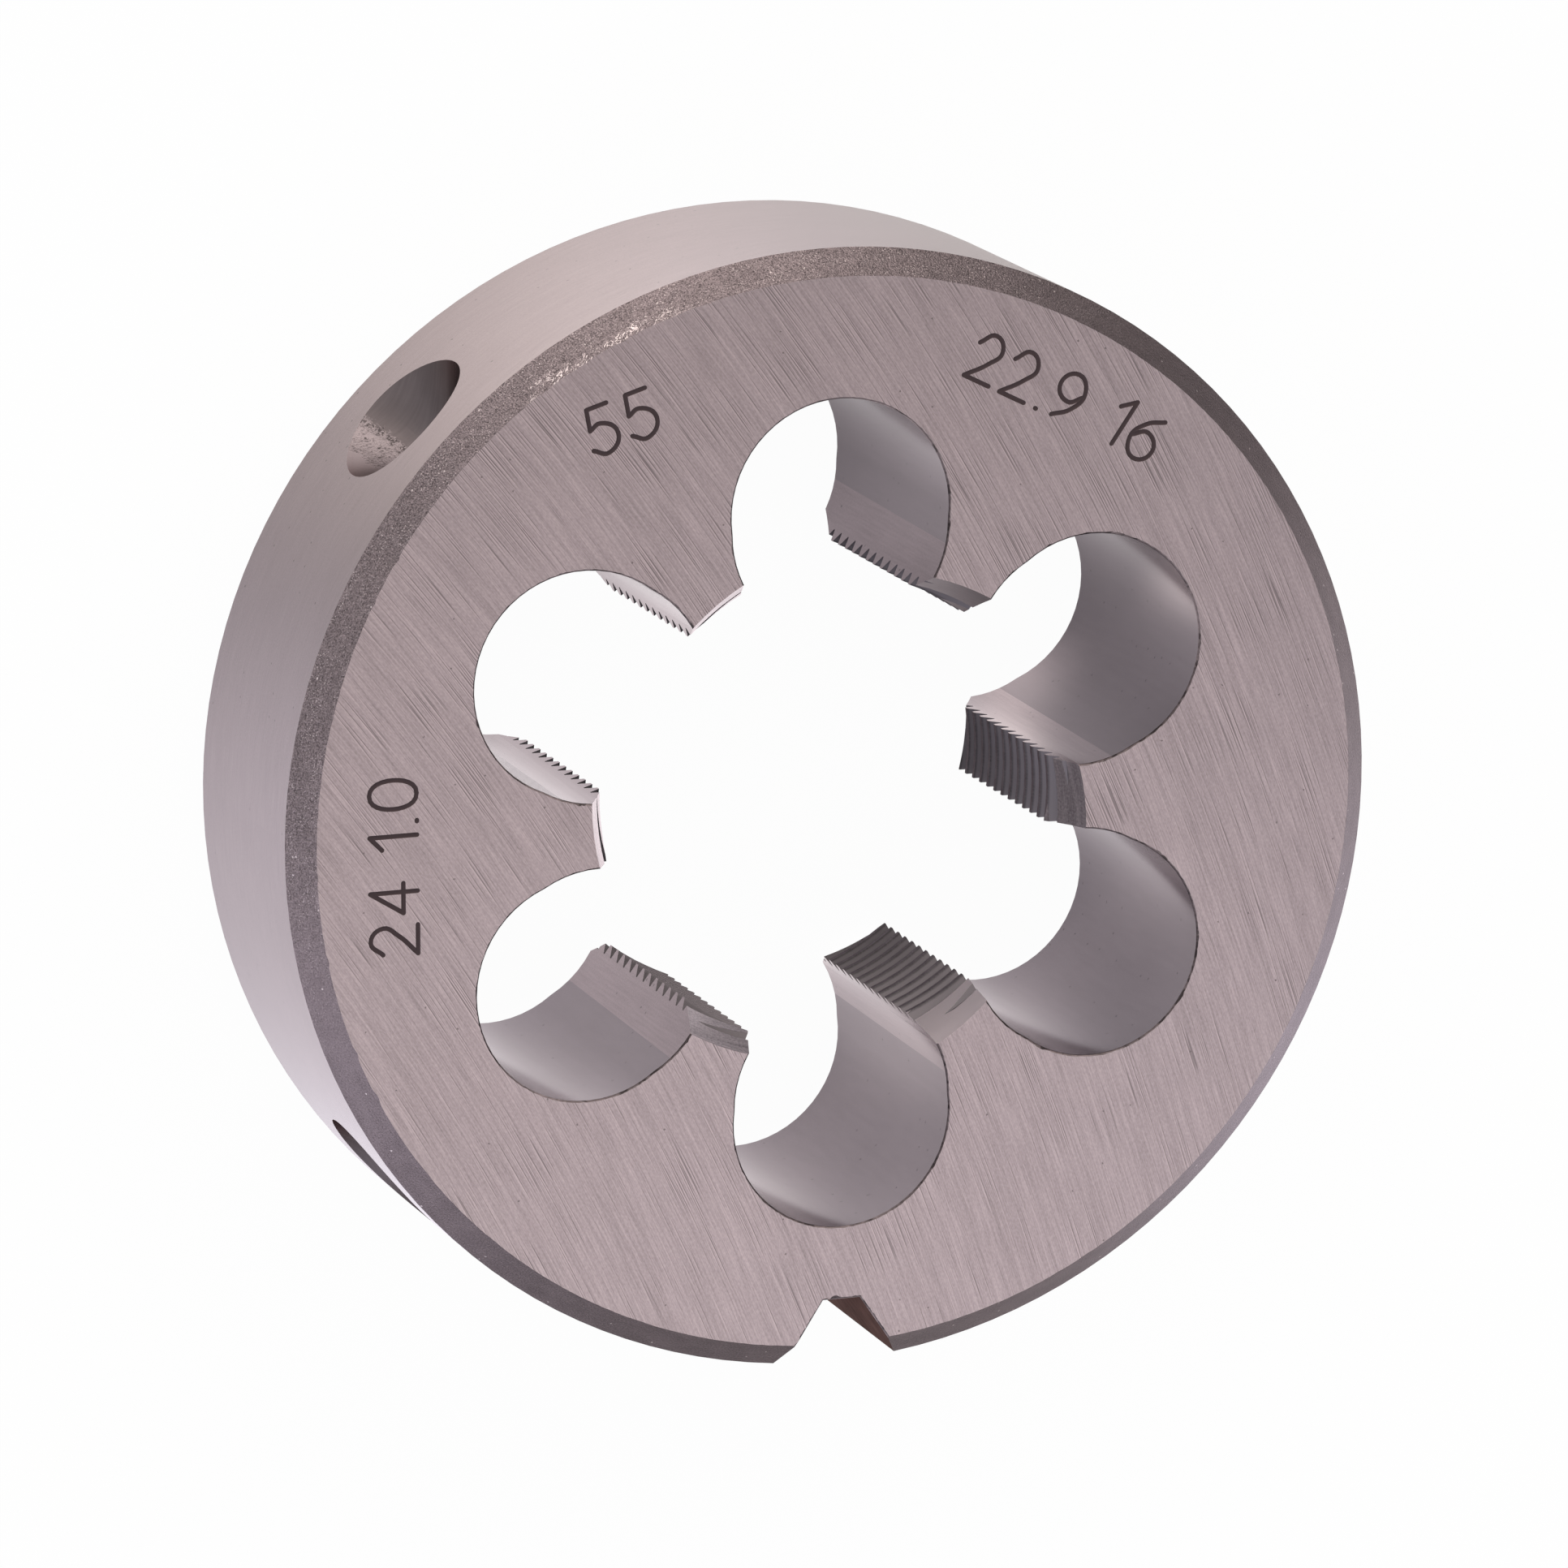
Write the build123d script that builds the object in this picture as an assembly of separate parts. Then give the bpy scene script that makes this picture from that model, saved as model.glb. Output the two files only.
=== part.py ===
from build123d import *
import math
import os

# Disc, all lengths in millimetres
die_diameter = 55.0
die_thickness = 16.0
front_chamfer = 1.2
back_chamfer = 1.0

# Thread that the die cuts: right hand, fine pitch
thread_diameter = 24.0
thread_pitch = 1.0
thread_flank_angle = 30.0
thread_phase = 0.4

# Chip holes: a drilled round and a second bore that opens it to the thread
land_count = 6
chip_hole_diameter = 11.0
chip_hole_distance = 14.9
rake_bore_diameter = 10.9
rake_bore_distance = 14.1

# Lead in at each end of the thread, backed off behind the cutting edge
throat_radius = 12.6
throat_half_angle = 27.0
throat_relief = 1.5

# Adjusting notch in the rim
notch_root_distance = 24.05
notch_root_width = 1.9
notch_half_angle = 33.5

# Cone shaped seats for the holder's screws, angles counted from the notch
seat_diameter = 7.3
seat_half_angle = 45.0
near_seat_angle = 49.0
far_seat_angle = 135.0

# Values that follow from the sizes above
die_radius = die_diameter / 2
triangle_height = thread_pitch / (2 * math.tan(math.radians(thread_flank_angle)))
thread_depth = triangle_height * 5 / 8
crest_radius = thread_diameter / 2 - thread_depth
land_pitch = 360 / land_count
land_reach = land_pitch / 4
notch_depth = die_radius - notch_root_distance
cut_height = die_thickness * 2

# Disc with turned rim chamfers, bored to the crests of the thread, its seam at -Y
section = Polyline(
    (crest_radius, 0),
    (die_radius - back_chamfer, 0),
    (die_radius, back_chamfer),
    (die_radius, die_thickness - front_chamfer),
    (die_radius - front_chamfer, die_thickness),
    (crest_radius, die_thickness),
    close=True,
)
die = revolve(Rot(0, 0, -90) * make_face(Plane.XZ * section), Axis.Z)

# Chip holes, whose second bore leaves the cutting face and the heel of each land
chip_hole = Pos(0, chip_hole_distance) * Circle(chip_hole_diameter / 2)
chip_hole += Pos(0, rake_bore_distance) * Circle(rake_bore_diameter / 2)
chip_cutter = extrude(chip_hole, cut_height, both=True)
die -= [Rot(0, 0, i * land_pitch) * chip_cutter for i in range(land_count)]

# Sector that keeps a cutter to the land it is made for
sector_edge = Vector(die_radius, 0).rotate(Axis.Z, land_reach)
sector = make_face(
    Polyline(
        (0, 0),
        (sector_edge.X, -sector_edge.Y),
        (sector_edge.X, sector_edge.Y),
        close=True,
    )
)
sector_block = extrude(sector, cut_height, both=True)

# Lead in: a cone set off towards the heel, and the same turned over at the back
throat_slope = math.tan(math.radians(throat_half_angle))
throat_end_radius = crest_radius - throat_relief
throat_length = (throat_radius - throat_end_radius) / throat_slope
throat_cone = Cone(
    throat_end_radius,
    throat_radius + thread_pitch * throat_slope,
    throat_length + thread_pitch,
    align=(Align.CENTER, Align.CENTER, Align.MIN),
)
front_throat = Pos(0, -throat_relief, die_thickness - throat_length) * throat_cone
front_throat &= sector_block
back_throat = Pos(0, 0, die_thickness) * Rot(180, 0, 0) * front_throat

# Thread groove across one land: flat root an eighth of the pitch wide
root_half_width = thread_pitch / 16
groove_mouth = thread_pitch / 8
groove_flare = math.tan(math.radians(thread_flank_angle))
mouth_half_width = root_half_width + (thread_depth + groove_mouth) * groove_flare
groove_rise = thread_pitch * 2 * land_reach / 360
groove_path = Helix(thread_pitch, groove_rise, crest_radius)
groove_plane = Plane(origin=groove_path @ 0, x_dir=(1, 0, 0), z_dir=(0, 1, 0))
groove_section = make_face(
    groove_plane
    * Polyline(
        (-groove_mouth, -mouth_half_width),
        (thread_depth, -root_half_width),
        (thread_depth, root_half_width),
        (-groove_mouth, mouth_half_width),
        close=True,
    )
)
groove = sweep(groove_section, path=groove_path, is_frenet=True)
groove = Pos(0, 0, -groove_rise / 2) * Rot(0, 0, -land_reach) * groove

# Lead ins and grooves on every land, the grooves climbing round the bore
land_cutters = []
turn_count = math.ceil(die_thickness / thread_pitch)
for i in range(land_count):
    land = Rot(0, 0, 90 + (i + 0.5) * land_pitch)
    climb = thread_phase + (i + 0.5) / land_count
    land_cutters.append(land * front_throat)
    land_cutters.append(land * back_throat)
    for n in range(-1, turn_count + 1):
        land_cutters.append(land * Pos(0, 0, (n + climb) * thread_pitch) * groove)
die -= land_cutters

# Adjusting notch through the rim, facing -Y, cut from well outside the disc
notch_flare = math.tan(math.radians(notch_half_angle))
notch_half_width = notch_root_width / 2
notch_over_half_width = notch_half_width + 2 * notch_depth * notch_flare
notch_over_distance = notch_root_distance + 2 * notch_depth
notch = make_face(
    Polyline(
        (-notch_half_width, -notch_root_distance),
        (-notch_over_half_width, -notch_over_distance),
        (notch_over_half_width, -notch_over_distance),
        (notch_half_width, -notch_root_distance),
        close=True,
    )
)
die -= extrude(notch, cut_height, both=True)

# Screw seats at mid height on the rim, two each side of the notch
seat_flare = math.tan(math.radians(seat_half_angle))
seat_radius = seat_diameter / 2
seat_point = math.sqrt(die_radius**2 - seat_radius**2) - seat_radius / seat_flare
seat_height = die_radius - seat_point + notch_depth
seat = Cone(
    0,
    seat_height * seat_flare,
    seat_height,
    align=(Align.CENTER, Align.CENTER, Align.MIN),
)
seat = Pos(seat_point, 0, die_thickness / 2) * Rot(0, 90, 0) * seat
seat_angles = [near_seat_angle, far_seat_angle, -far_seat_angle, -near_seat_angle]
die -= [Rot(0, 0, angle - 90) * seat for angle in seat_angles]

os.makedirs("parts", exist_ok=True)
export_step(die, "parts/threading_die.step")
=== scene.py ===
"""Looks of the round threading die: a ground steel disc with its numbers, floor, lamps and camera."""

import math

import bmesh
import bpy
from mathutils import Matrix, Vector, noise


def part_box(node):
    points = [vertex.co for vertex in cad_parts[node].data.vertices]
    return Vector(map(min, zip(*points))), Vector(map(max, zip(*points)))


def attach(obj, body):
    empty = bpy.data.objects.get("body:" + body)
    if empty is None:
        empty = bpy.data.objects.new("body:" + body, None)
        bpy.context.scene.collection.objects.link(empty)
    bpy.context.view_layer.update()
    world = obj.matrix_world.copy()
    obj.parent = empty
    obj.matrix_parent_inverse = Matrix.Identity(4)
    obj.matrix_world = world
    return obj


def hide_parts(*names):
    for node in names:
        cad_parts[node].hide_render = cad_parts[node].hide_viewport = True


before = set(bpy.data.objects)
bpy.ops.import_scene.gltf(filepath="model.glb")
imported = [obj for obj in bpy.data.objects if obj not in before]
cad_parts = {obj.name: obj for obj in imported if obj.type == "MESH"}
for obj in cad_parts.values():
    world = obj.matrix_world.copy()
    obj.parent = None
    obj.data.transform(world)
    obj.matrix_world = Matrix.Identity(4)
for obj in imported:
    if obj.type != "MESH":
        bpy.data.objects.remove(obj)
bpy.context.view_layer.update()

bl_info = {
    "name": "Round Threading Die",
    "version": (1, 0, 0),
    "blender": (4, 5, 0),
    "location": "View3D > Sidebar > Threading Die",
    "description": "Dresses a round threading die in ground, blasted and cut steel",
    "category": "Object",
}

MM = 0.001
IN_MM = (1 / MM, 1 / MM, 1 / MM)
NODE = "threading_die"
UNROLLED = "unrolled"

# Surfaces of the solid that the finishes are laid by, in metres and radians
LOW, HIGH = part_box(NODE)
MID_HEIGHT = (LOW[2] + HIGH[2]) / 2
FACE_HEIGHT = HIGH[2]
RIM_RADIUS = 27.5 * MM
CHAMFER_RADIUS = 26.3 * MM
BORE_RADIUS = 11.46 * MM
HOLE_RADIUS = 5.5 * MM
HOLE_DISTANCE = 14.9 * MM
HOLE_TURNS = [math.radians(30 + 60 * i) for i in range(6)]
NOTCH_TURN = math.radians(-90)
SEAT_POINT = 23.607 * MM
SEAT_SLOPE = math.cos(math.radians(45))
SEAT_TURNS = [math.radians(a) for a in (-41, 45, 135, 221)]

# Distances from the axis at which kinds of face part: holes from notch and seats, chamfer, rim, land, rake
OUTER_ZONE = 22.5 * MM
CHAMFER_ZONE = 26.0 * MM
RIM_ZONE = 27.4 * MM
LAND_ZONE = 13.2 * MM
RAKE_ZONE = 14.2 * MM

# Distances from mid height beyond which a slanted face is a chamfer or a lead in
CHAMFER_RISE = 5.0 * MM
THROAT_RISE = 5.5 * MM

# Box that holds the notch: how far towards -Y it starts and how far it reaches to each side
NOTCH_START = 24.0 * MM
NOTCH_REACH = 4.0 * MM

# Cosines that tell a face's direction: square to it, inwards, and the range of Z on chamfers and lead ins
SQUARE = 0.99
INWARD = -0.3
CHAMFER_TILT = (0.6871, 0.7271)
THROAT_TILT = (0.394, 0.514)

# Corners closer than this are welded, and edges bent more than this stay sharp
WELD_DISTANCE = 0.001 * MM
SHARP_ANGLE = math.radians(20)

# Azimuths in degrees of what looks unlike its fellows: a lead in painted in shade, a lead in and a thread
# painted lighter as painted light, the deepest grit and a seat
SHADED_THROAT = 60
LIT_THROAT = 300
LIT_THREAD = 240
DEEPEST_GRIT = 125
TORN_SEAT = 135

# Painted light laid on one land alone: cosines to its middle where it fades in, and the reach in mm of the
# lead in painted in shade
LAND_FADE = (0.88, 0.95)
SHADE_REACH = 4.0

# Burr on the marked face's edge, in degrees: where it begins, is fullest and ends, and its flakes' slant
BURR_TURNS = (104, 115, 127)
FLAKE_SLANT = -52

# Distance from the axis, in mm, past which nothing is a hollow of the thread
HOLLOW_END = 13.0

# Grinding lines: turn in degrees, bend and fan for each mm along them, and Y in mm over which the scratches'
# painted highlight and shade grow stronger towards +Y
GRIND_TURN = 62.5
GRIND_BEND = 0.0035
GRIND_FAN = 0.0029
SCRATCH_LIGHT_RISE = (-12.0, 16.0)

# Tints of the light: plain white, the warmer light above the picture and the cooler light below it
WHITE = "FFFFFF"
WARM = "FFF9F1"
COOL = "F8FAFF"
COLD = "EEF0FF"
PAPER = "F3F3F3"

# Share of pure white in the paper as the camera sees it, and the rest is paper as it is lit
WHITE_SHARE = 0.97

# Tint of steel seen at a low angle, where it is bright and where oxide or dirt dulls it
SHEEN = "FFF8FA"
DULL_SHEEN = "8C8486"
DARK_SHEEN = "84746F"

# Soft light of the room, all at one height in degrees: azimuth in degrees, strength and tint
GLOW_ELEVATION = 10
GLOW_SHARPNESS = 8.0
ROOM_GLOWS = (
    (45, 0.20, WHITE),
    (90, 4.75, WARM),
    (135, 1.55, WHITE),
    (180, 1.69, WHITE),
    (225, 2.90, COLD),
    (270, 0.44, WHITE),
)

# Softboxes above the die: x and y in metres, watts and tint
LAMP_SIZE = 0.2
LAMP_HEIGHT = 0.35
LAMPS = (
    (0.05, -0.15, 0.169, WHITE),
    (0.05, 0.05, 0.059, WARM),
    (0.25, -0.15, 0.192, COOL),
    (0.25, 0.25, 0.342, WARM),
)

# Camera at the photograph's angle: place in metres, turns in degrees, focal length and sensor in mm
CAMERA_PLACE = (-0.16108, 0.11238, 0.46573)
CAMERA_TURNS = (-13.0124, -19.4042, -0.1298)
CAMERA_LENS = 234.728
SENSOR_WIDTH = 36.0

# How far the floor reaches to each side, in metres
FLOOR_REACH = 2.0

# Pools of light painted on the paper, glowing for the steel's reflections alone: distance in mm, azimuth,
# reach in mm, strength, tint
PAINTED_FLOOR_POOLS = (
    (5, 255, 40, 1.35, WHITE),
    (42, 0, 32, 0.30, WHITE),
    (42, 30, 32, 0.35, WHITE),
    (42, 90, 28, 0.90, WHITE),
    (42, 120, 28, 1.28, WARM),
    (42, 180, 28, 0.70, COLD),
    (42, 210, 28, 0.24, COLD),
    (42, 240, 32, 1.10, COLD),
    (42, 270, 32, 0.23, WHITE),
    (42, 300, 32, 0.50, WHITE),
    (42, 330, 32, 0.67, COLD),
    (68, 0, 34, 1.35, COOL),
    (68, 330, 36, 2.00, COLD),
    (15.6, 8, 4, 1.00, WARM),
    (19.3, 325, 5, 0.20, WARM),
    (18.7, 279, 5, 0.15, WARM),
)

# Small breaks in the edge between the marked face and its chamfer: turn in degrees, width and depth in mm
EDGE_NICKS = (
    (104.5, 0.45, 0.04),
    (109.0, 0.70, 0.05),
    (114.5, 0.90, 0.06),
    (119.5, 0.80, 0.05),
    (124.0, 0.60, 0.06),
    (147.5, 0.25, 0.10),
    (152.5, 0.30, 0.06),
    (182.0, 0.25, 0.07),
    (191.0, 0.30, 0.08),
    (201.5, 0.50, 0.07),
    (206.8, 0.60, 0.09),
)

# Stroke of each digit on a box 0.6 wide and 1 high: x, y, and whether the stroke turns smoothly there
DIGIT_STROKES = {
    "0": [(0.3, 1, 1), (0.6, 0.5, 1), (0.3, 0, 1), (0, 0.5, 1), (0.3, 1, 1)],
    "1": [(0.05, 0.74, 0), (0.32, 1, 0), (0.32, 0, 0)],
    "2": [(0.02, 0.74, 1), (0.3, 1, 1), (0.57, 0.74, 1), (0.4, 0.42, 1), (0, 0, 0), (0.6, 0, 0)],
    "4": [(0.44, 0, 0), (0.44, 1, 0), (0, 0.3, 0), (0.62, 0.3, 0)],
    "5": [
        (0.54, 1, 0),
        (0.1, 1, 0),
        (0.05, 0.56, 0),
        (0.3, 0.64, 1),
        (0.6, 0.33, 1),
        (0.3, 0, 1),
        (0, 0.15, 1),
    ],
    "6": [
        (0.5, 0.97, 1),
        (0.16, 0.72, 1),
        (0, 0.32, 1),
        (0.3, 0, 1),
        (0.6, 0.31, 1),
        (0.3, 0.6, 1),
        (0.02, 0.4, 1),
    ],
    "9": [
        (0.1, 0.03, 1),
        (0.44, 0.28, 1),
        (0.6, 0.68, 1),
        (0.3, 1, 1),
        (0, 0.69, 1),
        (0.3, 0.4, 1),
        (0.58, 0.6, 1),
    ],
    ".": [(0.02, 0, 0), (0.04, 0, 0)],
}

# Gap after each digit and width of a space, as shares of the height
DIGIT_GAP = 0.26
SPACE_WIDTH = 0.4

# Plain sizes cut into the marked face: text, middle in mm, and the turn of the line in degrees
FACE_NUMBERS = (
    ("24 1.0", -22.5, -0.7, 90),
    ("55", -11.0, 20.0, 17),
    ("22.9", 9.5, 20.8, -27),
    ("16", 15.0, 17.9, -35),
)


def linear(hex_colour):
    """Turns an sRGB hex colour such as A79899 into linear RGBA."""
    channels = [int(hex_colour[i : i + 2], 16) / 255 for i in (0, 2, 4)]
    return tuple(c / 12.92 if c <= 0.04045 else ((c + 0.055) / 1.055) ** 2.4 for c in channels) + (1.0,)


def colour_property(name, description, hex_colour):
    """Makes a colour setting from an sRGB hex colour."""
    return bpy.props.FloatVectorProperty(
        name=name,
        description=description,
        subtype="COLOR",
        size=4,
        min=0.0,
        max=1.0,
        default=linear(hex_colour),
    )


class DieSizes(bpy.types.PropertyGroup):
    """Sizes of the details that the solid leaves to the looks"""

    edge_break: bpy.props.FloatProperty(
        name="Edge Break",
        description="Width of the small bevel left on the outer edges",
        default=0.04 * MM,
        min=0.0,
        unit="LENGTH",
    )
    mouth_break: bpy.props.FloatProperty(
        name="Hole Edge Break",
        description="Width of the bruised bevel round the chip holes",
        default=0.08 * MM,
        min=0.0,
        unit="LENGTH",
    )
    mouth_chips: bpy.props.FloatProperty(
        name="Hole Edge Chips",
        description="Depth of the chips in the mouths of the chip holes",
        default=0.03 * MM,
        min=0.0,
        unit="LENGTH",
    )
    edge_wander: bpy.props.FloatProperty(
        name="Edge Wander",
        description="How far the edge of the chamfer strays from a true circle",
        default=0.03 * MM,
        min=0.0,
        unit="LENGTH",
    )
    number_height: bpy.props.FloatProperty(
        name="Number Height",
        description="Height of the engraved digits",
        default=2.35 * MM,
        min=0.5 * MM,
        unit="LENGTH",
    )
    number_stroke: bpy.props.FloatProperty(
        name="Number Stroke",
        description="Width of the stroke of the engraved digits",
        default=0.23 * MM,
        min=0.05 * MM,
        unit="LENGTH",
    )
    number_depth: bpy.props.FloatProperty(
        name="Number Depth",
        description="Depth of the engraved digits",
        default=0.03 * MM,
        min=0.005 * MM,
        unit="LENGTH",
    )
    line_width: bpy.props.FloatProperty(
        name="Grinding Line Width",
        description="Width of one fine grinding line on the flat faces",
        default=0.055 * MM,
        min=0.01 * MM,
        unit="LENGTH",
    )


class DieColours(bpy.types.PropertyGroup):
    """Colours of the finishes"""

    face: colour_property("Ground Face", "Surface ground steel of the flat faces", "AE9EA0")
    chamfer: colour_property("Blasted Chamfer", "Grit blasted steel of the rim chamfers", "665C5E")
    rim: colour_property("Ground Rim", "Cylindrically ground steel of the rim", "7D7475")
    hole: colour_property("Reamed Holes", "Reamed steel of the chip holes", "5D565B")
    rake: colour_property("Rake Faces", "Ground steel of the cutting faces", "72676B")
    thread: colour_property("Thread", "Cut and hardened steel of the thread", "5C575A")
    throat: colour_property("Throat", "Relief ground steel of the lead in", "B0A5A9")
    notch: colour_property("Notch", "Milled and heat coloured steel of the notch", "675753")
    seat: colour_property("Screw Seats", "Drilled steel of the screw seats", "524B4C")
    torn: colour_property("Torn Steel", "Torn grain at one side of each screw seat", "7A7072")
    number: colour_property("Numbers", "Oxide left in the laser engraved digits", "54484A")
    # One colour serves the painted glints on the chamfer's facets and specks, and its real burr
    glint_and_burr: colour_property("Flashes", "Bright facets and burrs on the chamfer", "B4A8A8")


def add_node(tree, kind, inputs=None, **settings):
    """Adds a node with its settings, and sets its inputs or links them to a socket or a node's first one."""
    node = tree.nodes.new(kind)
    for name, value in settings.items():
        setattr(node, name, value)
    for key, value in (inputs or {}).items():
        if isinstance(value, bpy.types.Node):
            value = value.outputs[0]
        if isinstance(value, bpy.types.NodeSocket):
            tree.links.new(value, node.inputs[key])
        else:
            node.inputs[key].default_value = value
    return node


def new_material(name):
    """Makes an empty material and returns it with its node tree."""
    material = bpy.data.materials.new(name)
    material.use_nodes = True
    material.node_tree.nodes.clear()
    return material, material.node_tree


def tone(colour, factor):
    """Makes a colour lighter or darker."""
    return tuple(min(1.0, c * factor) for c in colour[:3]) + (1.0,)


def steel_surface(tree, base, contrast, shade, spots, roughness, height, relief, sheen=SHEEN):
    """Joins a shade round 0.5, spots of other colours and a relief in metres into a steel surface."""
    colour = add_node(
        tree,
        "ShaderNodeMix",
        {"Factor": shade, "A": tone(base, 1 - contrast), "B": tone(base, 1 + contrast)},
        data_type="RGBA",
    ).outputs["Result"]
    for mask, spot_colour in spots:
        colour = add_node(
            tree,
            "ShaderNodeMix",
            {"Factor": mask, "A": colour, "B": spot_colour},
            data_type="RGBA",
        ).outputs["Result"]
    bump = add_node(tree, "ShaderNodeBump", {"Strength": 1.0, "Distance": relief, "Height": height})
    shader = add_node(
        tree,
        "ShaderNodeBsdfPrincipled",
        {
            "Base Color": colour,
            "Metallic": 1.0,
            "Roughness": roughness,
            "Specular Tint": linear(sheen),
            "Normal": bump,
        },
    )
    add_node(tree, "ShaderNodeOutputMaterial", {"Surface": shader})


def layered_noise(tree, vector, layers, shift=0.0):
    """Adds noises round 0.5, each with its size in mm across and along, its weight and its detail."""
    total = 0.5 - 0.5 * sum(weight for across, along, weight, detail in layers)
    for i, (across, along, weight, detail) in enumerate(layers):
        stretch = (1 / across, 1 / along, 1.0)
        # Each layer starts elsewhere in the noise, so that no two line up
        start = (17.3 * i + shift / across, 5.1 * i, 3.7 * i)
        stretched = add_node(
            tree,
            "ShaderNodeVectorMath",
            {0: vector, 1: stretch, 2: start},
            operation="MULTIPLY_ADD",
        )
        grain = add_node(
            tree,
            "ShaderNodeTexNoise",
            {"Vector": stretched, "Scale": 1.0, "Detail": detail, "Roughness": 0.55},
        )
        total = add_node(
            tree,
            "ShaderNodeMath",
            {0: grain, 1: weight, 2: total},
            operation="MULTIPLY_ADD",
        )
    return total


def masked(tree, value, start, full, *masks):
    """Makes a mask that rises from start to full, times other masks."""
    mask = add_node(
        tree,
        "ShaderNodeMapRange",
        {0: value, 1: start, 2: full},
        interpolation_type="SMOOTHSTEP",
    )
    for other in masks:
        mask = add_node(tree, "ShaderNodeMath", {0: mask, 1: other}, operation="MULTIPLY")
    return mask


def specks(tree, vector, spacing, size, share, seed):
    """Scatters uneven specks: spacing and size in mm, and the share of the places that hold one."""
    ragged = add_node(
        tree,
        "ShaderNodeTexNoise",
        {"Vector": vector, "Scale": 1.3 / size, "Detail": 1.0},
    )
    moved = add_node(
        tree,
        "ShaderNodeVectorMath",
        {0: ragged.outputs["Color"], 1: (size * 1.2, size * 1.2, 0.0), 2: vector},
        operation="MULTIPLY_ADD",
    )
    shifted = add_node(
        tree,
        "ShaderNodeVectorMath",
        {0: moved, 1: (seed, seed * 0.7, 0.0)},
        operation="ADD",
    )
    cells = add_node(
        tree,
        "ShaderNodeTexVoronoi",
        {"Vector": shifted, "Scale": 1 / spacing},
        voronoi_dimensions="2D",
    )
    pick = add_node(tree, "ShaderNodeSeparateColor", {0: cells.outputs["Color"]})
    kept = add_node(tree, "ShaderNodeMath", {0: pick, 1: share}, operation="LESS_THAN")
    edge = size / spacing
    return masked(tree, cells.outputs["Distance"], edge * 0.65, edge * 0.35, kept)


def facing(tree, azimuth):
    """Gives the cosine of the angle at the die's axis between the place and an azimuth in degrees."""
    solid = add_node(tree, "ShaderNodeTexCoord").outputs["Object"]
    level = add_node(
        tree,
        "ShaderNodeVectorMath",
        {0: solid, 1: (1.0, 1.0, 0.0)},
        operation="MULTIPLY",
    )
    spoke = add_node(tree, "ShaderNodeVectorMath", {0: level}, operation="NORMALIZE")
    turn = math.radians(azimuth)
    way = (math.cos(turn), math.sin(turn), 0.0)
    cosine = add_node(tree, "ShaderNodeVectorMath", {0: spoke, 1: way}, operation="DOT_PRODUCT")
    return cosine.outputs["Value"]


def on_land(tree, azimuth):
    """Makes a mask that is full on the land at an azimuth in degrees."""
    return masked(tree, facing(tree, azimuth), *LAND_FADE)


def in_mm(tree, place, turn=0.0):
    """Turns a place in metres to millimetres, and round the disc's axis by an angle in degrees."""
    return add_node(
        tree,
        "ShaderNodeMapping",
        {"Vector": place, "Rotation": (0.0, 0.0, math.radians(turn)), "Scale": IN_MM},
    )


def unrolled_mm(tree):
    """Gives the place on the unrolled surface in millimetres."""
    return in_mm(tree, add_node(tree, "ShaderNodeUVMap", uv_map=UNROLLED))


def ground_face_steel(name, colour, line_width):
    """Surface ground high speed steel: long fine lines, light and dark, on the gentle arc of the wheel."""
    material, tree = new_material(name)
    place = add_node(tree, "ShaderNodeTexCoord").outputs["Object"]
    axes = add_node(tree, "ShaderNodeSeparateXYZ", {0: in_mm(tree, place, GRIND_TURN)})
    along, across = axes.outputs["X"], axes.outputs["Y"]
    # Arcs of about 140 mm radius that fan out a little towards one side
    fan = add_node(
        tree,
        "ShaderNodeMath",
        {0: along, 1: GRIND_FAN, 2: 1.0},
        operation="MULTIPLY_ADD",
    )
    fanned = add_node(tree, "ShaderNodeMath", {0: across, 1: fan}, operation="MULTIPLY")
    squared = add_node(tree, "ShaderNodeMath", {0: along, 1: along}, operation="MULTIPLY")
    arc = add_node(
        tree,
        "ShaderNodeMath",
        {0: squared, 1: GRIND_BEND, 2: fanned},
        operation="MULTIPLY_ADD",
    )
    lines = add_node(tree, "ShaderNodeCombineXYZ", {"X": arc, "Y": along})
    # The finest real lines are narrower than a pixel, and are drawn as coarse as they need to show
    width = line_width / MM
    shade = layered_noise(
        tree,
        lines,
        (
            (width, 2.2, 0.60, 1.0),
            (width * 1.8, 5.0, 0.45, 1.0),
            (width * 6.0, 7.0, 0.24, 1.0),
            (width * 30.0, 14.0, 0.12, 1.0),
            (0.07, 0.16, 0.50, 1.0),
        ),
    )
    # Single deeper scratches, painted dark on one side and light on the other as a painted shade and
    # highlight, and painted stronger towards +Y, standing in for the light catching the lines there
    flat = in_mm(tree, place)
    sides = add_node(tree, "ShaderNodeSeparateXYZ", {0: flat})
    top_scratch_light = masked(tree, sides.outputs["Y"], *SCRATCH_LIGHT_RISE)
    scratch_layers = ((width * 0.9, 4.5, 1.0, 0.0), (1.6, 5.0, 0.35, 0.0))
    depth = add_node(
        tree,
        "ShaderNodeMath",
        {0: top_scratch_light, 1: 0.07, 2: 0.70},
        operation="MULTIPLY_ADD",
    )
    opened = add_node(tree, "ShaderNodeMath", {0: 1.36, 1: depth}, operation="SUBTRACT")
    scratch_shade = layered_noise(tree, lines, scratch_layers)
    scratch_highlight = layered_noise(tree, lines, scratch_layers, width)
    spots = (
        (masked(tree, scratch_highlight, opened, 0.80, depth, 0.7), tone(colour, 1.5)),
        (masked(tree, scratch_shade, opened, 0.80, depth), tone(colour, 0.42)),
        (specks(tree, flat, 1.5, 0.09, 0.12, 3.0), tone(colour, 0.5)),
    )
    steel_surface(tree, colour, 0.45, shade, spots, 0.38, shade, 0.004 * MM)
    return material


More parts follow.
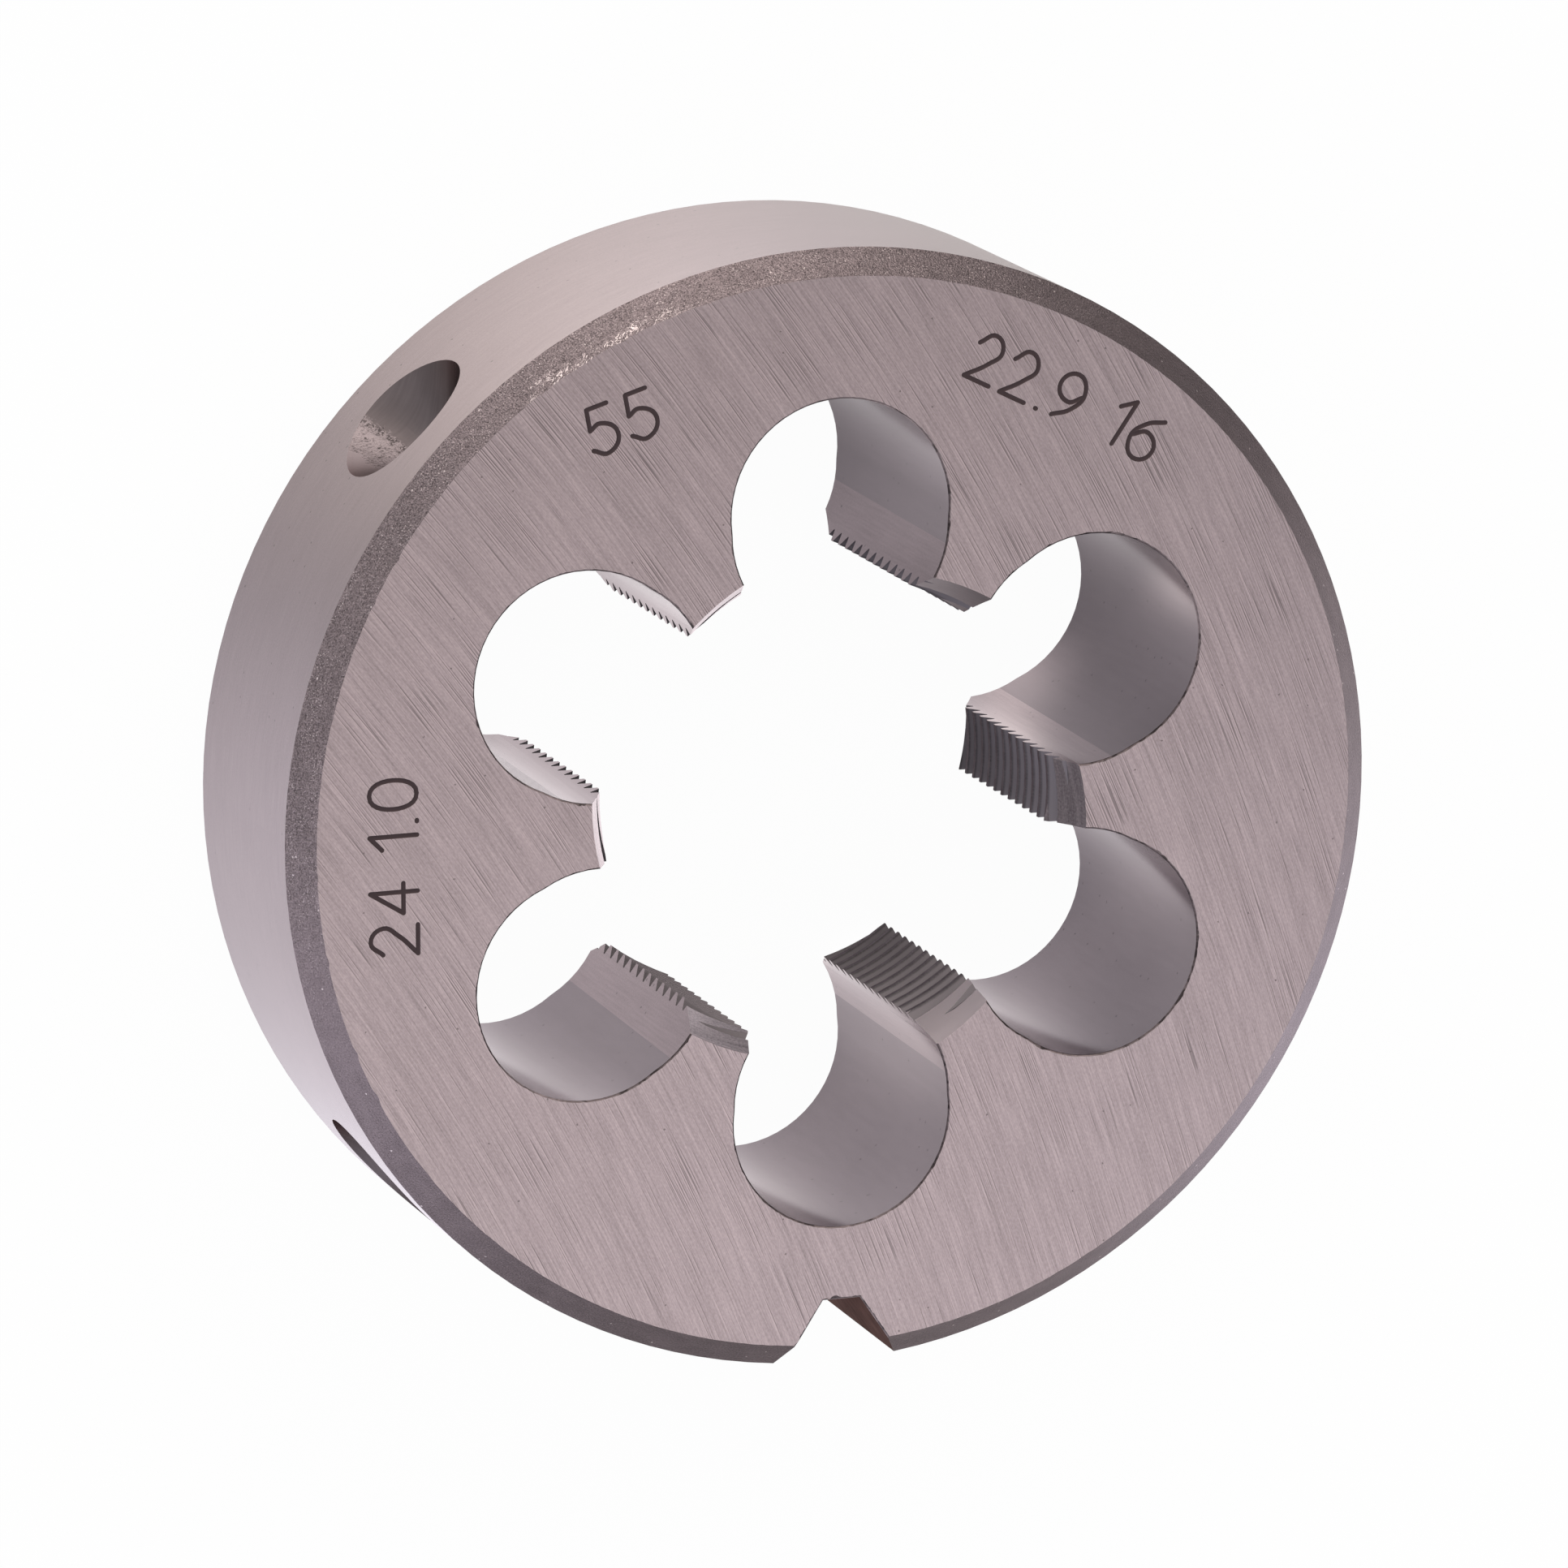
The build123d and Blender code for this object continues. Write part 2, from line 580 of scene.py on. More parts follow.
def blasted_steel(name, colour, glint_and_burr):
    """Grit blasted steel: a dull dark grain with painted glints on its facets on one side, painted bright
    specks, painted shade in its small hollows, and a flaky burr at its edge.
    """
    material, tree = new_material(name)
    place = unrolled_mm(tree)
    # Grit bit deep on one side of the disc, and the far side is almost smooth
    bitten = masked(tree, facing(tree, DEEPEST_GRIT), 0.1, 0.7)
    even = layered_noise(tree, place, ((0.09, 0.09, 0.8, 1.0), (1.2, 0.7, 0.4, 2.0)))
    rough = layered_noise(
        tree,
        place,
        (
            (0.085, 0.085, 1.7, 1.0),
            (0.2, 0.2, 0.5, 0.0),
            (1.6, 0.9, 0.3, 2.0),
        ),
    )
    shade = add_node(
        tree,
        "ShaderNodeMix",
        {"Factor": bitten, "A": even, "B": rough},
        data_type="FLOAT",
    )
    # Grain finer than this wouldn't show, so it is drawn two pixels wide
    cluster = layered_noise(tree, place, ((1.4, 0.7, 0.8, 2.0),))
    crowded = masked(tree, cluster, 0.36, 0.62, 0.65)
    grain = layered_noise(tree, place, ((0.085, 0.085, 1.0, 1.0),), 40.0)
    # Clustered facets painted bright on the bitten side are painted glints
    facets = masked(tree, grain, 0.61, 0.67, crowded, bitten)
    hollows = layered_noise(tree, place, ((0.12, 0.12, 1.0, 1.0),), 80.0)
    # Dark patches in small hollows on the bitten side are painted shade
    dent_shade = masked(tree, hollows, 0.40, 0.31, 0.4, bitten)
    # A flaky burr hangs at the edge of the face on one stretch
    axes = add_node(tree, "ShaderNodeSeparateXYZ", {0: place})
    begin, fullest, end = (math.radians(turn) * CHAMFER_RADIUS / MM for turn in BURR_TURNS)
    stretch = masked(tree, axes, begin, fullest, masked(tree, axes, end, end - 1.0))
    ragged = layered_noise(tree, place, ((0.6, 90.0, 1.3, 2.0), (0.15, 0.15, 0.4, 1.0)))
    reach = add_node(
        tree,
        "ShaderNodeMath",
        {0: ragged, 1: -0.9, 2: axes.outputs["Y"]},
        operation="MULTIPLY_ADD",
    )
    slanted = add_node(
        tree,
        "ShaderNodeMapping",
        {"Vector": place, "Rotation": (0.0, 0.0, math.radians(FLAKE_SLANT))},
    )
    flakes = layered_noise(tree, slanted, ((0.07, 0.30, 1.0, 2.0), (0.3, 0.5, 0.35, 1.0)))
    burr = masked(tree, flakes, 0.57, 0.64, masked(tree, reach, 0.0, -0.25), stretch)
    # Thin threads of metal curl away from it
    curl = layered_noise(tree, place, ((0.42, 0.30, 1.0, 1.0),), 12.0)
    fold = add_node(tree, "ShaderNodeMath", {0: curl, 1: 0.5}, operation="SUBTRACT")
    ridge = add_node(tree, "ShaderNodeMath", {0: fold}, operation="ABSOLUTE")
    near_burr = masked(tree, reach, 0.35, 0.05)
    threads = masked(tree, ridge, 0.022, 0.008, near_burr, masked(tree, cluster, 0.5, 0.6), stretch)
    # The bright specks are painted glints too; the burr and its curls take the same colour, lighter
    spots = (
        (dent_shade, tone(colour, 0.5)),
        (facets, glint_and_burr),
        (specks(tree, place, 0.8, 0.09, 0.12, 5.0), tone(glint_and_burr, 0.8)),
        (burr, tone(glint_and_burr, 1.1)),
        (threads, tone(glint_and_burr, 1.25)),
    )
    steel_surface(tree, colour, 0.6, shade, spots, 0.40, shade, 0.02 * MM)
    return material


def turned_steel(name, colour, streak, roughness, contrast, relief, dirt, uneven=False):
    """Steel ground or reamed round an axis: fine streaks, in mm round and along it, and dark specks."""
    material, tree = new_material(name)
    place = unrolled_mm(tree)
    wide, high = streak
    shade = layered_noise(
        tree,
        place,
        (
            (wide, high, 1.0, 1.0),
            (wide * 1.5, high * 4, 0.6, 1.0),
            (7.0, 4.0, 0.4, 1.0),
            (0.11, 0.11, 1.2, 1.0),
        ),
    )
    spots = [(specks(tree, place, 1.2, 0.11, dirt, 7.0), tone(colour, 0.4))]
    if uneven:
        # One lead in is painted darker as painted shade, and the lead in on another land is painted lighter
        # as painted light
        middle = math.radians(SHADED_THROAT) * BORE_RADIUS / MM
        begin, end = middle - SHADE_REACH, middle + SHADE_REACH
        axes = add_node(tree, "ShaderNodeSeparateXYZ", {0: place})
        dull = masked(tree, axes, begin, begin + 1.0, masked(tree, axes, end, end - 1.0))
        spots.append((dull, tone(colour, 0.3)))
        spots.append((on_land(tree, LIT_THROAT), tone(colour, 2.0)))
    steel_surface(tree, colour, contrast, shade, spots, roughness, shade, relief)
    return material


def cut_steel(name, colour, grain, contrast, roughness, relief, sheen, hollow=1.0):
    """Steel cut and left as it was: an uneven colour, a torn and matt grain, painted light in the thread's
    hollows, and painted light on one land.
    """
    material, tree = new_material(name)
    place = unrolled_mm(tree)
    shade = layered_noise(
        tree,
        place,
        (
            (grain, grain * 2, 1.0, 3.0),
            (grain * 6, grain * 8, 0.8, 2.0),
        ),
    )
    solid = add_node(tree, "ShaderNodeTexCoord").outputs["Object"]
    level = add_node(
        tree,
        "ShaderNodeVectorMath",
        {0: solid, 1: (1 / MM, 1 / MM, 0.0)},
        operation="MULTIPLY",
    )
    radius = add_node(tree, "ShaderNodeVectorMath", {0: level}, operation="LENGTH").outputs["Value"]
    # Hollows of the thread lie past its crests, and end before the notch and the numbers, and take a painted
    # light that makes them lighter
    crest = BORE_RADIUS / MM
    near_bore = masked(tree, radius, HOLLOW_END, HOLLOW_END - 0.1)
    hollows = masked(tree, radius, crest + 0.01, crest + 0.12, near_bore)
    # One land is painted lighter as painted light, and this also falls on the notch's wall on its side
    spots = (
        (on_land(tree, LIT_THREAD), tone(colour, 2.2)),
        (hollows, tone(colour, hollow)),
    )
    steel_surface(tree, colour, contrast, shade, spots, roughness, shade, relief, sheen)
    return material


def broken_edge_steel(name, colour):
    """Edges broken by hand: a bevel that catches a bright line, painted darker as a painted dark reflection,
    with darker patches along it.
    """
    material, tree = new_material(name)
    place = in_mm(tree, add_node(tree, "ShaderNodeTexCoord").outputs["Object"])
    shade = layered_noise(tree, place, ((0.25, 0.25, 1.4, 2.0), (2.0, 2.0, 1.0, 1.0)))
    dark_patches = masked(tree, layered_noise(tree, place, ((0.9, 0.9, 1.0, 3.0),), 9.0), 0.52, 0.60, 0.8)
    spots = ((dark_patches, tone(colour, 0.25)),)
    steel_surface(tree, colour, 0.5, shade, spots, 0.4, shade, 0.004 * MM)
    return material


def drilled_seat_steel(name, smooth, torn):
    """Drilled steel: smooth and dark, and in the torn seat light and rough past a ragged line."""
    material, tree = new_material(name)
    place = unrolled_mm(tree)
    axes = add_node(tree, "ShaderNodeSeparateXYZ", {0: place})
    ragged = layered_noise(tree, place, ((0.16, 0.16, 0.9, 2.0), (1.0, 1.0, 0.5, 0.0)))
    across = add_node(tree, "ShaderNodeMath", {0: axes, 1: ragged}, operation="ADD")
    torn_seat = masked(tree, facing(tree, TORN_SEAT), 0.80, 0.85)
    # Torn from the ragged line to about 3.1 mm from the seat's middle, and light and even past that
    before_end = masked(tree, across, 3.15, 3.05)
    rough_part = masked(tree, across, 1.25, 1.5, before_end, torn_seat)
    grain = layered_noise(tree, place, ((0.09, 0.09, 1.2, 2.0), (0.3, 0.3, 0.7, 1.0)))
    rings = layered_noise(tree, place, ((2.5, 0.12, 0.5, 1.0), (1.5, 1.5, 0.5, 1.0)))
    height = add_node(tree, "ShaderNodeMath", {0: grain, 1: rough_part}, operation="MULTIPLY")
    near_line = masked(tree, across, 2.1, 1.6)
    dirt = specks(tree, place, 0.42, 0.11, 0.25, 2.0)
    spots = (
        (rough_part, torn),
        (masked(tree, grain, 0.5, 0.25, rough_part), tone(torn, 0.55)),
        (masked(tree, grain, 0.45, 0.6, near_line, rough_part), tone(smooth, 0.6)),
        (masked(tree, across, 3.05, 3.15, torn_seat), tone(torn, 1.1)),
        (masked(tree, dirt, 0.0, 1.0, rough_part), tone(smooth, 0.7)),
    )
    steel_surface(tree, smooth, 0.3, rings, spots, 0.42, height, 0.02 * MM, DARK_SHEEN)
    return material


def finishes(colours, sizes):
    """Makes the steel finishes of the disc, in the order of FINISH_NAMES."""
    return [
        ground_face_steel("ground_face_steel", colours.face, sizes.line_width),
        ground_face_steel("ground_back_steel", colours.face, sizes.line_width),
        blasted_steel("blasted_chamfer_steel", colours.chamfer, tuple(colours.glint_and_burr)),
        turned_steel(
            "ground_rim_steel",
            colours.rim,
            streak=(1.6, 0.08),
            roughness=0.25,
            contrast=0.13,
            relief=0.001 * MM,
            dirt=0.12,
        ),
        turned_steel(
            "reamed_hole_steel",
            colours.hole,
            streak=(0.4, 2.5),
            roughness=0.20,
            contrast=0.08,
            relief=0.0002 * MM,
            dirt=0.2,
        ),
        turned_steel(
            "ground_rake_steel",
            colours.rake,
            streak=(0.12, 2.5),
            roughness=0.20,
            contrast=0.15,
            relief=0.0005 * MM,
            dirt=0.2,
        ),
        cut_steel(
            "cut_thread_steel",
            colours.thread,
            grain=0.10,
            contrast=0.4,
            roughness=0.55,
            relief=0.004 * MM,
            sheen=DULL_SHEEN,
            hollow=1.8,
        ),
        turned_steel(
            "ground_throat_steel",
            colours.throat,
            streak=(3.0, 0.09),
            roughness=0.30,
            contrast=0.4,
            relief=0.002 * MM,
            dirt=0.05,
            uneven=True,
        ),
        cut_steel(
            "milled_notch_steel",
            colours.notch,
            grain=0.25,
            contrast=0.5,
            roughness=0.6,
            relief=0.012 * MM,
            sheen=DARK_SHEEN,
        ),
        drilled_seat_steel("drilled_seat_steel", colours.seat, tuple(colours.torn)),
        cut_steel(
            "engraved_number_oxide",
            colours.number,
            grain=0.07,
            contrast=0.9,
            roughness=0.6,
            relief=0.004 * MM,
            sheen=DARK_SHEEN,
        ),
        # The broken edges take half the face's tone, a painted dark reflection along each edge
        broken_edge_steel("broken_edge_steel", tone(colours.face, 0.5)),
    ]


FINISH_NAMES = (
    "front_face",
    "back_face",
    "chamfer",
    "rim",
    "chip_hole",
    "rake",
    "thread",
    "throat",
    "notch",
    "seat",
    "number",
    "edge",
)
FINISH = {name: index for index, name in enumerate(FINISH_NAMES)}


def finish_of(face):
    """Names the finish of a face of the disc from where it lies and which way it looks."""
    centre = face.calc_center_median()
    normal = face.normal
    tilt = abs(normal.z)
    rise = abs(centre.z - MID_HEIGHT)
    radius = math.hypot(centre.x, centre.y)
    outward = (normal.x * centre.x + normal.y * centre.y) / radius
    if normal.z > SQUARE:
        return "front_face"
    if normal.z < -SQUARE:
        return "back_face"
    if radius > OUTER_ZONE:
        slanted = CHAMFER_TILT[0] < tilt < CHAMFER_TILT[1]
        if radius > CHAMFER_ZONE and slanted and rise > CHAMFER_RISE:
            return "chamfer"
        if radius > RIM_ZONE and outward > SQUARE:
            return "rim"
        if centre.y < -NOTCH_START and abs(centre.x) < NOTCH_REACH:
            return "notch"
        return "seat"
    if radius < LAND_ZONE and outward < INWARD:
        if THROAT_TILT[0] < tilt < THROAT_TILT[1] and rise > THROAT_RISE:
            return "throat"
        return "thread"
    if radius < RAKE_ZONE:
        return "rake"
    return "chip_hole"


def nearest_turn(point, turns):
    """Picks the turn, out of a list in radians, that lies nearest to a point's direction."""
    angle = math.atan2(point.y, point.x)
    return min(turns, key=lambda turn: abs(math.remainder(angle - turn, math.tau)))


def unroll(shape):
    """Lays each surface of the disc out flat, in metres, so that a pattern follows it."""
    layer = shape.loops.layers.uv.new(UNROLLED)
    for face in shape.faces:
        finish = FINISH_NAMES[face.material_index]
        centre = face.calc_center_median()
        middle = math.atan2(centre.y, centre.x)
        for loop in face.loops:
            point = loop.vert.co
            radius = math.hypot(point.x, point.y)
            turn = middle + math.remainder(math.atan2(point.y, point.x) - middle, math.tau)
            if finish in ("front_face", "back_face"):
                place = (point.x, point.y)
            elif finish == "chamfer":
                # The back one lies a metre away, so that it doesn't repeat the front one
                side = 0 if centre.z > MID_HEIGHT else 1
                place = (turn * CHAMFER_RADIUS + side, (radius - CHAMFER_RADIUS) * math.sqrt(2))
            elif finish == "rim":
                place = (turn * RIM_RADIUS, point.z)
            elif finish in ("chip_hole", "rake"):
                # Each hole is laid out round its own axis, 50 mm away for each radian between them
                hole = nearest_turn(centre, HOLE_TURNS)
                axis = Vector((math.cos(hole), math.sin(hole), 0)) * HOLE_DISTANCE
                base = math.atan2(centre.y - axis.y, centre.x - axis.x)
                bearing = math.atan2(point.y - axis.y, point.x - axis.x)
                here = base + math.remainder(bearing - base, math.tau)
                place = (here * HOLE_RADIUS + hole * 0.05, point.z)
            elif finish == "seat":
                seat = nearest_turn(centre, SEAT_TURNS)
                place = (math.remainder(turn - seat, math.tau) * RIM_RADIUS, point.z - MID_HEIGHT)
            elif finish == "notch":
                place = (point.x + point.y, point.z)
            else:
                place = (turn * BORE_RADIUS, point.z)
            loop[layer].uv = place


def wander_edges(shape, sizes):
    """Makes the edge between the marked face and its chamfer stray a little, with a few nicks."""
    border = {FINISH["chamfer"], FINISH["front_face"]}
    ring = [
        edge
        for edge in shape.edges
        if {face.material_index for face in edge.link_faces} == border
    ]
    bmesh.ops.subdivide_edges(shape, edges=ring, cuts=5)
    for vert in shape.verts:
        if {face.material_index for face in vert.link_faces} != border:
            continue
        turn = math.degrees(math.atan2(vert.co.y, vert.co.x)) % 360
        direction = Vector((vert.co.x, vert.co.y, 0)).normalized()
        stray = noise.noise(vert.co / (0.9 * MM)) + 0.6 * noise.noise(vert.co / (0.35 * MM))
        inward = abs(stray) * sizes.edge_wander
        for middle, width, depth in EDGE_NICKS:
            away = math.radians(turn - middle) * CHAMFER_RADIUS / (width * MM)
            inward += depth * MM * math.exp(-4 * away * away)
        vert.co = direction * (CHAMFER_RADIUS - inward) + Vector((0, 0, FACE_HEIGHT))


def bevel(shape, edges, width):
    """Bevels edges round, in two steps."""
    return bmesh.ops.bevel(
        shape,
        geom=edges,
        offset=width,
        offset_type="OFFSET",
        affect="EDGES",
        segments=2,
        profile=0.5,
        material=-1,
        clamp_overlap=True,
    )["faces"]


def chip_mouths(shape, sizes):
    """Makes the upper mouths of the chip holes and of the notch stray a little, with small chips."""
    border = {FINISH["front_face"], FINISH["edge"]}
    # Whether it is the notch, cuts in each edge, distance of its axis, and how deep its chips are
    mouths = ((False, 4, HOLE_DISTANCE, 1.0), (True, 24, RIM_RADIUS, 3.5))
    for in_notch, cuts, distance, depth in mouths:
        ring = []
        for edge in shape.edges:
            middle = (edge.verts[0].co + edge.verts[1].co).xy / 2
            kinds = {face.material_index for face in edge.link_faces}
            if kinds == border and (middle.length > OUTER_ZONE) == in_notch:
                ring.append(edge)
        for vert in bmesh.ops.subdivide_edges(shape, edges=ring, cuts=cuts)["geom_inner"]:
            if not isinstance(vert, bmesh.types.BMVert):
                continue
            turn = NOTCH_TURN if in_notch else nearest_turn(vert.co, HOLE_TURNS)
            axis = Vector((math.cos(turn), math.sin(turn), 0)) * distance
            outward = Vector((vert.co.x - axis.x, vert.co.y - axis.y, 0)).normalized()
            chip = max(0, noise.noise(vert.co / (0.6 * MM)) - 0.25)
            stray = noise.noise(vert.co / (0.25 * MM)) + 4 * chip
            vert.co += outward * stray * depth * sizes.mouth_chips


def break_edges(shape, sizes):
    """Bevels hole mouths and outer edges, as deburring leaves them, and leaves the cutting edges sharp."""
    flat = {FINISH[name] for name in ("front_face", "back_face")}
    wall = {FINISH[name] for name in ("chip_hole", "rake", "notch")}
    keen = {FINISH[name] for name in ("rake", "thread", "throat")}
    mouths = []
    others = []
    for edge in shape.edges:
        kinds = {face.material_index for face in edge.link_faces}
        if kinds & flat and kinds & wall:
            mouths.append(edge)
        elif len(kinds) == 2 and not kinds & keen and edge.calc_face_angle(0) > SHARP_ANGLE:
            others.append(edge)
    for face in bevel(shape, mouths, sizes.mouth_break):
        face.material_index = FINISH["edge"]
    bevel(shape, [edge for edge in others if edge.is_valid], sizes.edge_break)
    chip_mouths(shape, sizes)


def shade_by_angle(mesh):
    """Shades flat faces flat and round ones smooth, with the rim and the seats truly round."""
    shape = bmesh.new()
    shape.from_mesh(mesh)
    for face in shape.faces:
        face.smooth = abs(face.normal.z) < 0.9999
    for edge in shape.edges:
        kinds = {face.material_index for face in edge.link_faces}
        edge.smooth = len(kinds) == 1 and edge.calc_face_angle(0) < SHARP_ANGLE
    shape.to_mesh(mesh)
    shape.free()
    # Corners without a normal of their own keep the one that Blender works out
    normals = [(0.0, 0.0, 0.0)] * len(mesh.loops)
    for face in mesh.polygons:
        on_rim = face.material_index == FINISH["rim"] and abs(face.normal.z) < 0.05
        if not on_rim and face.material_index != FINISH["seat"]:
            continue
        turn = nearest_turn(face.center, SEAT_TURNS)
        axis = Vector((math.cos(turn), math.sin(turn), 0))
        point = axis * SEAT_POINT + Vector((0, 0, MID_HEIGHT))
        if not on_rim and abs(face.normal.dot(axis) - SEAT_SLOPE) > 0.03:
            continue
        for loop in face.loop_indices:
            place = mesh.vertices[mesh.loops[loop].vertex_index].co
            if on_rim:
                normals[loop] = Vector((place.x, place.y, 0)).normalized()
                continue
            # At the cone's point the direction comes from the middle of the face
            away = place - point if (place - point).length > 0.1 * MM else face.center - point
            spoke = (away - axis * away.dot(axis)).normalized()
            normals[loop] = (axis - spoke).normalized()
    mesh.normals_split_custom_set(normals)


class DIE_OT_disc(bpy.types.Operator):
    """Dresses the steel disc: a copy of the solid with broken edges and its finishes"""

    bl_idname = "threading_die.disc"
    bl_label = "Steel Disc"

    def execute(self, context):
        sizes = context.scene.die_sizes
        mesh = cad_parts[NODE].data.copy()
        mesh.materials.clear()
        for material in finishes(context.scene.die_colours, sizes):
            mesh.materials.append(material)
        while mesh.uv_layers:
            mesh.uv_layers.remove(mesh.uv_layers[0])
        shape = bmesh.new()
        shape.from_mesh(mesh)
        bmesh.ops.remove_doubles(shape, verts=shape.verts, dist=WELD_DISTANCE)
        for face in shape.faces:
            face.material_index = FINISH[finish_of(face)]
        bmesh.ops.dissolve_limit(
            shape,
            angle_limit=math.radians(0.02),
            verts=shape.verts,
            edges=shape.edges,
            delimit={"MATERIAL"},
        )
        wander_edges(shape, sizes)
        break_edges(shape, sizes)
        unroll(shape)
        shape.to_mesh(mesh)
        shape.free()
        shade_by_angle(mesh)
        disc = bpy.data.objects.new("steel_disc", mesh)
        context.scene.collection.objects.link(disc)
        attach(disc, "root")
        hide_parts(NODE)
        return {"FINISHED"}


def digit_cutter(text, sizes):
    """Makes round strokes for a line of digits, flattened to the depth of the engraving."""
    data = bpy.data.curves.new("strokes", "CURVE")
    data.dimensions = "3D"
    data.bevel_depth = sizes.number_stroke / 2
    data.bevel_resolution = 3
    data.resolution_u = 6
    data.use_fill_caps = True
    pen = 0.0
    ends = {}
    for letter in text:
        if letter == " ":
            pen += SPACE_WIDTH
            continue
        stroke = DIGIT_STROKES[letter]
        points = [Vector((pen + x, y - 0.5, 0)) * sizes.number_height for x, y, smooth in stroke]
        closed = stroke[0] == stroke[-1]
        final = len(stroke) - 1
        corners = [i for i, (x, y, smooth) in enumerate(stroke) if not smooth and 0 < i < final]
        cuts = [0] + corners + [final]
        for first, last in zip(cuts[:-1], cuts[1:]):
            run = points[first:last] if closed else points[first : last + 1]
            spline = data.splines.new("BEZIER")
            spline.bezier_points.add(len(run) - 1)
            spline.use_cyclic_u = closed
            for point, place in zip(spline.bezier_points, run):
                point.co = place
                point.handle_left_type = "AUTO"
                point.handle_right_type = "AUTO"
            if not closed:
                ends.update({tuple(run[0]): run[0], tuple(run[-1]): run[-1]})
        pen += max(x for x, y, smooth in stroke) + DIGIT_GAP
    carrier = bpy.data.objects.new("strokes", data)
    mesh = bpy.data.meshes.new_from_object(carrier)
    bpy.data.objects.remove(carrier)
    bpy.data.curves.remove(data)
    shape = bmesh.new()
    shape.from_mesh(mesh)
    # Balls round off the ends and corners, a touch larger than the stroke so that no faces coincide
    for end in ends.values():
        bmesh.ops.create_icosphere(
            shape,
            subdivisions=2,
            radius=sizes.number_stroke * 0.502,
            matrix=Matrix.Translation(end),
        )
    flat = Matrix.Diagonal((1, 1, 2 * sizes.number_depth / sizes.number_stroke, 1))
    middle = Matrix.Translation((-(pen - DIGIT_GAP) / 2 * sizes.number_height, 0, 0))
    bmesh.ops.transform(shape, matrix=flat @ middle, verts=shape.verts)
    shape.to_mesh(mesh)
    shape.free()
    return mesh


def mend_cut(mesh):
    """Takes out the folded pairs of faces that the cut leaves, welds corners that meet and closes gaps."""
    shape = bmesh.new()
    shape.from_mesh(mesh)
    twins = {}
    for face in shape.faces:
        twins.setdefault(frozenset(face.verts), []).append(face)
    folds = [face for pair in twins.values() if len(pair) == 2 for face in pair]
    bmesh.ops.delete(shape, geom=folds, context="FACES")
    bmesh.ops.remove_doubles(shape, verts=shape.verts, dist=WELD_DISTANCE)
    gaps = [edge for edge in shape.edges if edge.is_boundary]
    bmesh.ops.holes_fill(shape, edges=gaps, sides=0)
    shape.to_mesh(mesh)
    shape.free()


class DIE_OT_numbers(bpy.types.Operator):
    """Engraves the plain sizes into the marked face of the disc"""

    bl_idname = "threading_die.numbers"
    bl_label = "Engraved Numbers"

    def execute(self, context):
        sizes = context.scene.die_sizes
        disc = bpy.data.objects["steel_disc"]
        shape = bmesh.new()
        for text, x, y, turn in FACE_NUMBERS:
            mesh = digit_cutter(text, sizes)
            turned = Matrix.Rotation(math.radians(turn), 4, "Z")
            mesh.transform(Matrix.Translation((x * MM, y * MM, FACE_HEIGHT)) @ turned)
            shape.from_mesh(mesh)
            bpy.data.meshes.remove(mesh)
        for face in shape.faces:
            face.material_index = FINISH["number"]
        cutter_mesh = bpy.data.meshes.new("number_cutter")
        shape.to_mesh(cutter_mesh)
        shape.free()
        for material in disc.data.materials:
            cutter_mesh.materials.append(material)
        cutter = bpy.data.objects.new("number_cutter", cutter_mesh)
        context.scene.collection.objects.link(cutter)
        engrave = disc.modifiers.new("engrave", "BOOLEAN")
        engrave.operation = "DIFFERENCE"
        engrave.solver = "EXACT"
        engrave.use_self = True
        engrave.object = cutter
        graph = context.evaluated_depsgraph_get()
        engraved = bpy.data.meshes.new_from_object(disc.evaluated_get(graph))
        disc.modifiers.remove(engrave)
        bpy.data.objects.remove(cutter)
        if len(engraved.polygons) <= len(disc.data.polygons):
            raise RuntimeError("the numbers were not engraved")
        mend_cut(engraved)
        disc.data = engraved
        shade_by_angle(engraved)
        return {"FINISHED"}


def white_paper():
    """Matt white paper, white to the camera, and to the steel as it is lit, with soft painted pools of light
    that glow in its reflections alone.
    """
    material, tree = new_material("white_paper_floor")
    path = add_node(tree, "ShaderNodeLightPath")
    place = add_node(tree, "ShaderNodeNewGeometry").outputs["Position"]
    glow = (0.0, 0.0, 0.0)
    for distance, azimuth, reach, strength, tint in PAINTED_FLOOR_POOLS:
        turn = math.radians(azimuth)
        middle = (distance * MM * math.cos(turn), distance * MM * math.sin(turn), 0.0)
        away = add_node(tree, "ShaderNodeVectorMath", {0: place, 1: middle}, operation="DISTANCE")
        pool = masked(tree, away.outputs["Value"], reach * MM, 0.0)
        light = [strength * channel for channel in linear(tint)[:3]]
        glow = add_node(
            tree,
            "ShaderNodeVectorMath",
            {0: pool, 1: light, 2: glow},
            operation="MULTIPLY_ADD",
        )
    lit = add_node(tree, "ShaderNodeBsdfDiffuse", {"Color": linear(PAPER)})
    pools = add_node(tree, "ShaderNodeEmission", {"Color": glow, "Strength": path.outputs["Is Glossy Ray"]})
    to_steel = add_node(tree, "ShaderNodeAddShader", {0: lit, 1: pools})
    white = add_node(tree, "ShaderNodeEmission", {"Color": (1, 1, 1, 1), "Strength": 1.0})
    share = masked(tree, path.outputs["Is Camera Ray"], 0.0, 1.0, WHITE_SHARE)
    mixed = add_node(tree, "ShaderNodeMixShader", {0: share, 1: to_steel, 2: white})
    add_node(tree, "ShaderNodeOutputMaterial", {"Surface": mixed})
    return material


